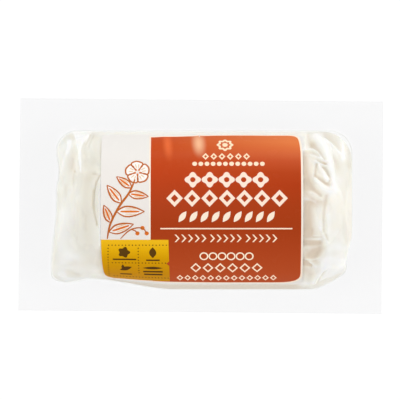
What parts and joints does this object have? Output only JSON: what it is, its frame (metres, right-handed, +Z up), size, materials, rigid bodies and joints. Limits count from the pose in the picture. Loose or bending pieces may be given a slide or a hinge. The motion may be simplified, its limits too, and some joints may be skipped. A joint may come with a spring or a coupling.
{
  "type": "goat cheese log in a sealed film pouch",
  "caption": "Short log of soft white cheese, vacuum sealed in a clear film pouch with a flat sealed margin and a glossy label bent over its top.",
  "frame": {"origin": "middle of the pouch's flat underside, in the plane it lies on", "axes": "+X along the log to the label's right, +Y to the label's top, +Z up out of the label"},
  "size_m": [0.109, 0.0638, 0.0316],
  "materials": {
    "film": "clear glossy film, creased where it is drawn tight",
    "cheese": "soft creamy white paste, slightly moist",
    "label": "coated glossy paper with orange, yellow, white and cream print"
  },
  "bodies": {
    "root": {"sealed_pack": "film", "label": "label"}
  },
  "joints": []
}
